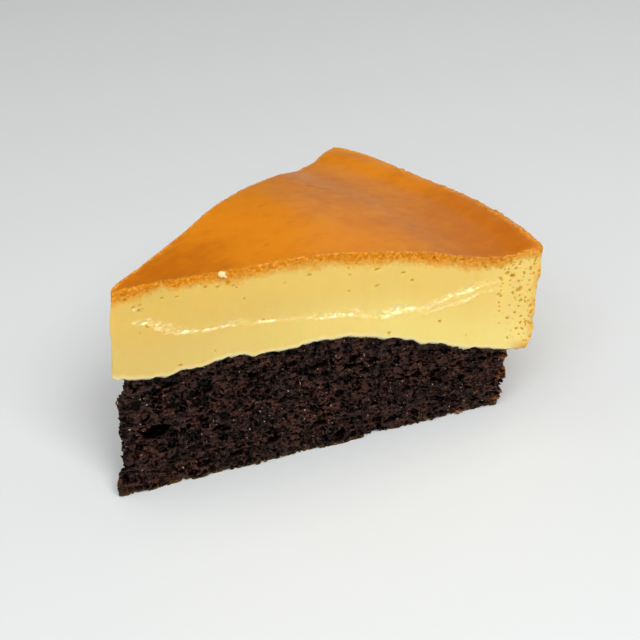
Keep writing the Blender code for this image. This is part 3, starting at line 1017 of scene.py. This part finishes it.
# %% The recipe for the custard's own colour
def body_colour(tree, place, from_tip, above_foot):
    """The custard's colour, from its foot to its top, paler towards the rim by painted light, and browned at
    the rim.
    """
    # from the foot to the top, and paler towards the rim, which is painted light
    painted_light_rimwards = add_node(tree, "ShaderNodeMapRange", {0: from_tip, 1: 5.0, 2: 95.0}, **SMOOTH)
    lower = add_node(
        tree, "ShaderNodeMix", {0: painted_light_rimwards, 6: linear("DFC474"), 7: linear("EFDA86")},
        **COLOURS).outputs[2]
    upper = add_node(
        tree, "ShaderNodeMix", {0: painted_light_rimwards, 6: linear("E6C56B"), 7: linear("EED076")},
        **COLOURS).outputs[2]
    body = passing(tree, above_foot, 4.0, 18.0, lower, upper)
    body = passing(tree, above_foot, 0.0, 2.4, linear("EFE3B4"), body)
    body = passing(tree, from_tip, 98.0, 109.0, body, linear("FAE49C"), 0.0, 0.22)
    # browned in patches at the rim, and most at its lower corner
    stains = add_node(tree, "ShaderNodeTexNoise", {"Vector": place, "Scale": 1.0 / 3.5})
    stained = add_node(
        tree, "ShaderNodeMapRange", {0: stains, 1: 0.38, 2: 0.62, 3: 0.35, 4: 1.0}, **SMOOTH)
    at_rim = add_node(tree, "ShaderNodeMapRange", {0: from_tip, 1: 115.5, 2: 119.6}, **SMOOTH)
    rim_stain = add_node(tree, "ShaderNodeMath", {0: at_rim, 1: stained}, operation="MULTIPLY")
    body = add_node(
        tree, "ShaderNodeMix", {0: rim_stain, 6: body, 7: linear("E2AA46")}, **COLOURS).outputs[2]
    towards_rim = add_node(tree, "ShaderNodeMapRange", {0: from_tip, 1: 110.0, 2: 117.0}, **SMOOTH)
    towards_foot = add_node(
        tree, "ShaderNodeMapRange", {0: above_foot, 1: 0.6, 2: 4.0, 3: 0.85, 4: 0.0}, **SMOOTH)
    at_corner = add_node(tree, "ShaderNodeMath", {0: towards_rim, 1: towards_foot}, operation="MULTIPLY")
    return add_node(
        tree, "ShaderNodeMix", {0: at_corner, 6: body, 7: linear("D28A26")}, **COLOURS).outputs[2]


# %% The recipe for the soaked band
SOAKED_ALONG = (
    # from and to which distance from the tip, and how much a depth below the top counts there
    (6.0, 14.0, 0.80, 1.35), (20.0, 32.0, 1.0, 0.68), (100.0, 113.0, 1.0, 1.35),
)


def soaked_depth(tree, place, from_tip):
    """How far below the top a place counts as, which noise and its distance from the tip change."""
    below_top = add_node(tree, "ShaderNodeAttribute", attribute_name="below_top").outputs["Fac"]
    fine_noise = add_node(tree, "ShaderNodeTexNoise", {"Vector": place, "Scale": 1.0 / 0.9})
    wide_noise = add_node(tree, "ShaderNodeTexNoise", {"Vector": place, "Scale": 1.0 / 6.0})
    uneven = add_node(tree, "ShaderNodeMath", {0: fine_noise, 1: wide_noise}, operation="ADD")
    uneven = add_node(tree, "ShaderNodeMath", {0: uneven, 1: 1.0}, operation="SUBTRACT")
    soaked = add_node(tree, "ShaderNodeMath", {0: uneven, 1: 3.2, 2: below_top}, operation="MULTIPLY_ADD")
    for near, far, at_near, at_far in SOAKED_ALONG:
        factor = add_node(
            tree, "ShaderNodeMapRange", {0: from_tip, 1: near, 2: far, 3: at_near, 4: at_far}, **SMOOTH)
        soaked = add_node(tree, "ShaderNodeMath", {0: soaked, 1: factor}, operation="MULTIPLY")
    return soaked


# %% The recipe for the custard's colour
def custard_colour(tree, place):
    """The custard's colour, from its foot to the soaked band, and the depth of its pits."""
    from_tip = add_node(tree, "ShaderNodeAttribute", attribute_name="from_tip").outputs["Fac"]
    above_foot = add_node(tree, "ShaderNodeAttribute", attribute_name="above_foot").outputs["Fac"]
    body = body_colour(tree, place, from_tip, above_foot)
    soaked = soaked_depth(tree, place, from_tip)
    # the band: tan, then orange, then its broken crust with painted glints
    body = passing(tree, soaked, 2.0, 4.2, linear("E4AA46"), body)
    caramel = passing(tree, from_tip, 102.0, 114.0, linear("DE8400"), linear("EE9E2E"))
    body = passing(tree, soaked, 0.9, 2.6, caramel, body)
    broken = add_node(tree, "ShaderNodeMapRange", {0: soaked, 1: 1.0, 2: 3.2, 3: 0.65, 4: 0.0}, **SMOOTH)
    body = broken_crust(tree, place, broken, body)
    # painted shade in the pits: browner, in the band's brown or in the custard's
    dug = add_node(tree, "ShaderNodeAttribute", attribute_name="dug").outputs["Fac"]
    pits = add_node(tree, "ShaderNodeMath", {0: bubble_shade(tree, place), 1: dug}, operation="MAXIMUM")
    in_band = passing(tree, from_tip, 98.0, 110.0, linear("B06400"), linear("C8801A"))
    in_pit = passing(tree, soaked, 0.9, 2.6, in_band, linear("D6A01C"))
    return passing(tree, pits, 0.0, 0.35, body, in_pit, 0.0, 0.85), pits


# %% The gloss of wet food
def make_glossy(shader, reach):
    """Wet, slightly see-through food, where light spreads a millimetre or two."""
    shader.inputs["IOR"].default_value = 1.35
    shader.inputs["Subsurface Radius"].default_value = (1.0, 0.6, 0.25)
    shader.inputs["Subsurface Scale"].default_value = reach * MM


# %% Set custard
set_custard, tree, shader = new_material("set_egg_custard")
place = add_node(tree, "ShaderNodeAttribute", attribute_name="place").outputs["Vector"]
colour, pits = custard_colour(tree, place)
wet = add_node(tree, "ShaderNodeAttribute", attribute_name="wet").outputs["Fac"]
grainy = add_node(tree, "ShaderNodeAttribute", attribute_name="grainy").outputs["Fac"]
# beads of liquid, grains and pits that are finer than the mesh
drawn_out = add_node(tree, "ShaderNodeVectorMath", {0: place, 1: DRAWN_OUT}, operation="MULTIPLY")
beads = add_node(tree, "ShaderNodeTexNoise", {"Vector": drawn_out, "Scale": 1.0 / 0.6, "Detail": 1.5})
bead_height = add_node(tree, "ShaderNodeMath", {0: wet, 1: 0.26}, operation="MULTIPLY")
beads = add_node(tree, "ShaderNodeMath", {0: beads, 1: bead_height}, operation="MULTIPLY")
grains = add_node(tree, "ShaderNodeTexNoise", {"Vector": place, "Scale": 1.0 / 0.6})
grain_height = add_node(tree, "ShaderNodeMath", {0: grainy, 1: 0.6, 2: 0.02}, operation="MULTIPLY_ADD")
grains = add_node(tree, "ShaderNodeMath", {0: grains, 1: grain_height}, operation="MULTIPLY")
sunk = add_node(tree, "ShaderNodeMath", {0: pits, 1: -0.10, 2: grains}, operation="MULTIPLY_ADD")
height = add_node(tree, "ShaderNodeMath", {0: beads, 1: sunk}, operation="ADD")
wet_bump = add_node(tree, "ShaderNodeBump", {"Strength": 1.0, "Distance": MM, "Height": height})
# pale specks of painted glints on the wet ledges
painted_wet_glints = add_node(tree, "ShaderNodeTexNoise", {"Vector": drawn_out, "Scale": 1.0 / 0.55})
painted_wet_glints = add_node(tree, "ShaderNodeMapRange", {0: painted_wet_glints, 1: 0.42, 2: 0.64}, **SMOOTH)
painted_glint_amount = add_node(tree, "ShaderNodeMapRange", {0: wet, 1: 0.2, 2: 0.8, 3: 0.0, 4: 0.42}, **SMOOTH)
painted_wet_glints = add_node(tree, "ShaderNodeMath", {0: painted_wet_glints, 1: painted_glint_amount}, operation="MULTIPLY")
colour = add_node(tree, "ShaderNodeMix", {0: painted_wet_glints, 6: colour, 7: linear("FCF0C4")}, **COLOURS).outputs[2]
# what is wet is smoother and coated, and a grainy place is less see-through
roughness = add_node(tree, "ShaderNodeMapRange", {0: wet, 1: 0.0, 2: 1.0, 3: 0.20, 4: 0.08}, **SMOOTH)
see_through = add_node(tree, "ShaderNodeMapRange", {0: grainy, 1: 0.0, 2: 0.7, 3: 1.0, 4: 0.1}, **SMOOTH)
coat = add_node(tree, "ShaderNodeMapRange", {0: wet, 1: 0.1, 2: 0.6}, **SMOOTH)
set_inputs(tree, shader, {
    "Base Color": colour, "Roughness": roughness, "Subsurface Weight": see_through, "Normal": wet_bump,
    "Coat Weight": coat, "Coat Normal": wet_bump, "Coat Roughness": 0.08, "Specular Tint": linear("FFE0A0")})
make_glossy(shader, 1.3)
add_piece("flan_body", flan_mesh, set_custard, "flan_custard")

# %% [markdown]
# ## The caramel's shape
#
# The caramel is a thin layer whose upper side is the one large glossy surface
# of the slice. Its points lie exactly on the model's smooth surface, so that
# its reflections stay smooth; only its edges, where the knife broke it, are
# rough and pitted. It is one closed loop across the slice, over the top and
# back underneath, repeated from the tip to the rim. Clusters of bubbles stand
# on the rim, and two short dark lines are drawn on the top near them.

# %% Shape the caramel
CARAMEL_RINGS = 210
CARAMEL_FANS = 130
RIM_CAP_STEPS = 2

line = np.linspace(1.0, -1.0, CARAMEL_FANS + 1)
line = 0.65 * line + 0.35 * np.sin(line * math.pi / 2)
loop_share = np.concatenate([line, -line, [1.0]])
loop_level = np.concatenate([np.ones(len(line)), np.zeros(len(line)), [1.0]])
caramel_mesh, column, row = grid_mesh("caramel_top", len(loop_share) - 1, CARAMEL_RINGS + RIM_CAP_STEPS)
fraction = np.minimum(row / CARAMEL_RINGS, 1.0)
cap = np.maximum(row - CARAMEL_RINGS, 0) / RIM_CAP_STEPS
share = loop_share[column]
level = 0.5 + (loop_level[column] - 0.5) * (1.0 - cap)
radius = fraction * flan_radius(share)
roof = along(TOP_PROFILE, radius)
foot = along(CAKE_PROFILE, radius)
wavy = bump(FLAN_SIDE_BUMPS, radius, CAKE_RADIUS * share * HALF_ANGLE, roof - foot)
inset = corner_inset(fraction, share)
x, y = plan_place(radius - inset, share, face_offset(radius, roof, foot) + wavy - inset, TOP_TIP_OFFSET)
print(CARAMEL_RINGS, "loops of", len(loop_share) - 1, "points")

# %% Roughen the caramel's edges
EDGE_GRAINS = (
    # height, distance between grains, and the pattern's number
    (0.10, 1.6, 111), (0.10, 0.8, 112),
)
CLUSTER_HEIGHT = 0.35
CLUSTER_SHARE = -0.42

to_cut = radius * np.sin(HALF_ANGLE * (1.0 - np.abs(share)))
to_rim = (1.0 - fraction) * FLAN_RADIUS
to_edge = np.minimum(to_cut, to_rim)
level_place = in_plan(x, y)
grain = layered_noise(level_place, EDGE_GRAINS)
# clusters of bubbles on the rim: some by chance, and one large one
here_and_there = smoothstep(soft_noise(level_place, 9.0, 113), 0.20, 0.35)
one_large = 1.0 - smoothstep(np.abs(share - CLUSTER_SHARE), 0.08, 0.20)
rim_clusters = np.maximum(here_and_there, one_large)
rim_clusters *= np.exp(-((to_rim / 2.6) ** 2)) * (share < 0.9)
high = custard_top(x, y) + grain * np.exp(-to_edge / 1.2) - 0.12 * np.exp(-to_edge / 0.25)
high += CLUSTER_HEIGHT * rim_clusters * np.clip(soft_noise(level_place, 1.3, 114) + 0.2, 0.0, 1.0)
thickness = skin_thickness(x, y, smoothstep(to_edge, 0.0, 3.0))
z = high - thickness * (1.0 - level)
points = leaned(x, y, z)
outwards = in_plan(x - MIDDLE_SHARE * FLAN_RADIUS, y)
outwards /= np.linalg.norm(outwards, axis=1)[:, None]
store(caramel_mesh, "place", points)
set_points(caramel_mesh, points + outwards * (1.5 * grain * np.exp(-to_edge / 0.25))[:, None])
print("the caramel is up to", round(thickness.max(), 1), "mm thick")

# %% What the caramel's finish reads
DARK_LINES = (
    # place in the plan, length and width in millimetres, and direction
    (80.2, 19.4, 2.4, 0.9, -0.67), (82.4, 16.1, 5.0, 0.8, -0.67),
)
DARK_LINE_SHARE = 0.75

near_edge = np.maximum(np.exp(-to_edge / 0.9), 0.7 * rim_clusters)
store(caramel_mesh, "bubbly", 0.45 * rim_clusters)
store(caramel_mesh, "pitted", np.clip(0.85 * near_edge + 0.5 * rim_clusters, 0.0, 0.85))
store(caramel_mesh, "near_edge", near_edge)
store(caramel_mesh, "from_tip", radius)
store(caramel_mesh, "across", share)
store(caramel_mesh, "rim_lip", np.exp(-((to_rim / 2.2) ** 2)))
dark_lines = np.zeros(len(radius))
for dark_line_x, dark_line_y, length, width, turn in DARK_LINES:
    along_x = (x - dark_line_x) * math.cos(turn) + (y - dark_line_y) * math.sin(turn)
    along_y = (y - dark_line_y) * math.cos(turn) - (x - dark_line_x) * math.sin(turn)
    dark_lines = np.maximum(dark_lines, np.exp(-((2 * along_x / length) ** 4) - (2 * along_y / width) ** 2))
store(caramel_mesh, "dark_lines", DARK_LINE_SHARE * dark_lines)
merged(caramel_mesh)
print("caramel_top", len(caramel_mesh.polygons), "faces")

# %% [markdown]
# Burnt sugar in custard is deep orange and shines as wet things do. Painted light
# makes it brighter in the middle, and a painted sheen far back. Streaks run
# across it where it flowed. Its grainy edges and the lip at its rim are paler,
# like the band below them, and two short lines on it are browner.

# %% Burnt sugar
FLOW = (0.30, 0.85, 1.0)

burnt_sugar, tree, shader = new_material("burnt_sugar_caramel")
place = add_node(tree, "ShaderNodeAttribute", attribute_name="place").outputs["Vector"]
from_tip = add_node(tree, "ShaderNodeAttribute", attribute_name="from_tip").outputs["Fac"]
near_edge = add_node(tree, "ShaderNodeAttribute", attribute_name="near_edge").outputs["Fac"]
flow_place = add_node(tree, "ShaderNodeVectorMath", {0: place, 1: FLOW}, operation="MULTIPLY")
streaks = add_node(tree, "ShaderNodeTexNoise", {"Vector": flow_place, "Scale": 1.0 / 9.0, "Detail": 5.0})
fine_streaks = add_node(
    tree, "ShaderNodeTexNoise", {"Vector": flow_place, "Scale": 1.0 / 1.6, "Detail": 4.0})
mottles = add_node(tree, "ShaderNodeTexNoise", {"Vector": place, "Scale": 1.0 / 4.0, "Detail": 5.0})
# painted light in the middle, a painted sheen far back, streaks and mottles
past_tip = add_node(
    tree, "ShaderNodeMapRange", {0: from_tip, 1: 14.0, 2: 50.0, 3: -0.1, 4: 1.1}, **SMOOTH)
before_rim = add_node(
    tree, "ShaderNodeMapRange", {0: from_tip, 1: 58.0, 2: 106.0, 3: 1.0, 4: 0.0}, **SMOOTH)
middle = add_node(tree, "ShaderNodeMath", {0: past_tip, 1: before_rim}, operation="MULTIPLY")
far = add_node(tree, "ShaderNodeMapRange", {0: from_tip, 1: 84.0, 2: 108.0}, **SMOOTH)
across = add_node(tree, "ShaderNodeAttribute", attribute_name="across").outputs["Fac"]
back = add_node(tree, "ShaderNodeMapRange", {0: across, 1: -0.5, 2: 0.6, 3: -0.15, 4: 0.9}, **SMOOTH)
far_back = add_node(tree, "ShaderNodeMath", {0: far, 1: back}, operation="MULTIPLY")
painted_light_and_streaks = add_node(tree, "ShaderNodeMath", {0: middle, 1: far_back}, operation="ADD")
for pattern, strength in ((streaks, 1.9), (fine_streaks, 1.0), (mottles, 1.4)):
    offset = add_node(tree, "ShaderNodeMath", {0: pattern, 1: 0.5}, operation="SUBTRACT")
    painted_light_and_streaks = add_node(
        tree, "ShaderNodeMath", {0: offset, 1: strength, 2: painted_light_and_streaks}, operation="MULTIPLY_ADD")
tone = passing(tree, painted_light_and_streaks, -0.50, 1.35, linear("BE6802"), linear("DC860E"))
print("burnt sugar has", len(tree.nodes), "nodes so far")

# %% Flecks, grains and scratches in burnt sugar
# dark flecks, paler grains along the edges and on the rim's lip, and two short dark lines
tone = passing(tree, fine_streaks, 0.64, 0.74, tone, linear("A85A06"), 0.0, 0.5)
fringe = add_node(tree, "ShaderNodeMath", {0: near_edge, 1: 0.6}, operation="SUBTRACT")
edge_grains = add_node(tree, "ShaderNodeTexNoise", {"Vector": place, "Scale": 1.0 / 1.1})
grainy = add_node(tree, "ShaderNodeMath", {0: edge_grains, 1: 1.2, 2: fringe}, operation="MULTIPLY_ADD")
tone = passing(tree, grainy, 0.30, 0.80, tone, linear("E08A1C"))
rim_lip = add_node(tree, "ShaderNodeAttribute", attribute_name="rim_lip").outputs["Fac"]
tone = passing(tree, rim_lip, 0.1, 0.9, tone, linear("EA9030"), 0.0, 0.55)
dark_line_share = add_node(tree, "ShaderNodeAttribute", attribute_name="dark_lines").outputs["Fac"]
tone = add_node(
    tree, "ShaderNodeMix", {0: dark_line_share, 6: tone, 7: linear("8A4A04")}, **COLOURS).outputs[2]
# broken crust with painted glints, and painted shade in the pits, right at the edges
broken = add_node(tree, "ShaderNodeMapRange", {0: near_edge, 1: 0.2, 2: 0.7, 3: 0.0, 4: 0.75}, **SMOOTH)
tone = broken_crust(tree, place, broken, tone)
pits = bubble_shade(tree, place)
tone = passing(tree, pits, 0.0, 0.3, tone, linear("B06A10"), 0.0, 0.7)
print("burnt sugar has", len(tree.nodes), "nodes so far")

# %% The shine of burnt sugar
# streaks, beads and pits that are finer than the mesh
beads = add_node(tree, "ShaderNodeTexNoise", {"Vector": place, "Scale": 1.0 / 0.7, "Detail": 3.0})
bead_height = add_node(tree, "ShaderNodeMath", {0: near_edge, 1: 0.5}, operation="MULTIPLY")
beads = add_node(tree, "ShaderNodeMath", {0: beads, 1: bead_height}, operation="MULTIPLY")
sunk = add_node(tree, "ShaderNodeMath", {0: pits, 1: -0.7}, operation="MULTIPLY")
height = add_node(tree, "ShaderNodeMath", {0: fine_streaks, 1: 0.05, 2: sunk}, operation="MULTIPLY_ADD")
height = add_node(tree, "ShaderNodeMath", {0: height, 1: beads}, operation="ADD")
pit_bump = add_node(tree, "ShaderNodeBump", {"Strength": 1.0, "Distance": MM, "Height": height})
see_through = add_node(
    tree, "ShaderNodeMapRange", {0: near_edge, 1: 0.0, 2: 0.6, 3: 0.8, 4: 0.1}, **SMOOTH)
set_inputs(tree, shader, {
    "Base Color": tone, "Roughness": 0.30, "Subsurface Weight": see_through, "Normal": pit_bump})
make_glossy(shader, 1.0)
add_piece("caramel_layer", caramel_mesh, burnt_sugar, "caramel_top")

# %% [markdown]
# ## Crumbs
#
# A knife leaves crumbs behind: a pale one of custard, with a smaller one beside
# it, lies on the caramel's front edge, and a few of cake lie at the foot of the
# cut. Each is a small ball, pushed in and out until it is as lumpy as a crumb.
# Away from the slice they dry, so they are matt, and light on their grains.

# %% Make the crumbs
CUSTARD_CRUMBS = (
    # radius, distance outside the front cut, height and size, all in millimetres
    (28.7, 0.3, 61.0, 1.8), (29.7, 0.5, 60.2, 0.8),
)
CAKE_CRUMBS = (
    (97.9, 0.4, 0.65, 1.3), (99.3, 0.2, 0.42, 0.8), (61.0, 0.9, 0.42, 0.8), (40.5, 0.8, 0.37, 0.7),
)


def add_crumbs(name, crumbs, material):
    """Lumpy crumbs along the front cut."""
    bm = bmesh.new()
    for number, (radius, outside, height, size) in enumerate(crumbs):
        x, y = plan_place(radius, -1.0, outside)
        place = Vector(leaned(np.array([x]), np.array([y]), np.array([height]))[0])
        ball = bmesh.ops.create_icosphere(bm, subdivisions=4, radius=size / 2)
        for vertex in ball["verts"]:
            lump = noise.noise(vertex.co / size * 2.2 + Vector((number * 7.3, 1.7, 3.1)))
            fine_lump = noise.noise(vertex.co / size * 6.0 + Vector((number * 3.3, 5.7, 0.4)))
            vertex.co *= 1.0 + 0.55 * lump + 0.25 * fine_lump
            vertex.co.z *= 0.8
        bmesh.ops.translate(bm, verts=ball["verts"], vec=place)
    mesh = bpy.data.meshes.new(name)
    bm.to_mesh(mesh)
    bm.free()
    mesh.transform(Matrix.Scale(MM, 4))
    mesh.materials.append(material)
    mesh.shade_smooth()
    piece = bpy.data.objects.new(name, mesh)
    bpy.context.scene.collection.objects.link(piece)
    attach(piece, "root")
    print(name, len(crumbs), "crumbs,", len(mesh.polygons), "triangles")


def crumb_material(name, dark, light):
    """A dry, grainy crumb in two tones."""
    material, tree, shader = new_material(name)
    place = add_node(tree, "ShaderNodeTexCoord").outputs["Object"]
    grains = add_node(tree, "ShaderNodeTexNoise", {"Vector": place, "Scale": 1.0 / (0.3 * MM)})
    grain_bump = add_node(
        tree, "ShaderNodeBump", {"Strength": 1.0, "Distance": 0.15 * MM, "Height": grains})
    colour = passing(tree, grains, 0.35, 0.65, linear(dark), linear(light))
    set_inputs(tree, shader, {"Base Color": colour, "Normal": grain_bump, "Roughness": 0.6})
    return material


dry_custard = crumb_material("dry_custard_crumb", "F0CF84", "FBEBBC")
dry_sponge = crumb_material("dry_cocoa_crumb", "3A2112", "94602A")
add_crumbs("custard_crumbs", CUSTARD_CRUMBS, dry_custard)
add_crumbs("cake_crumbs", CAKE_CRUMBS, dry_sponge)
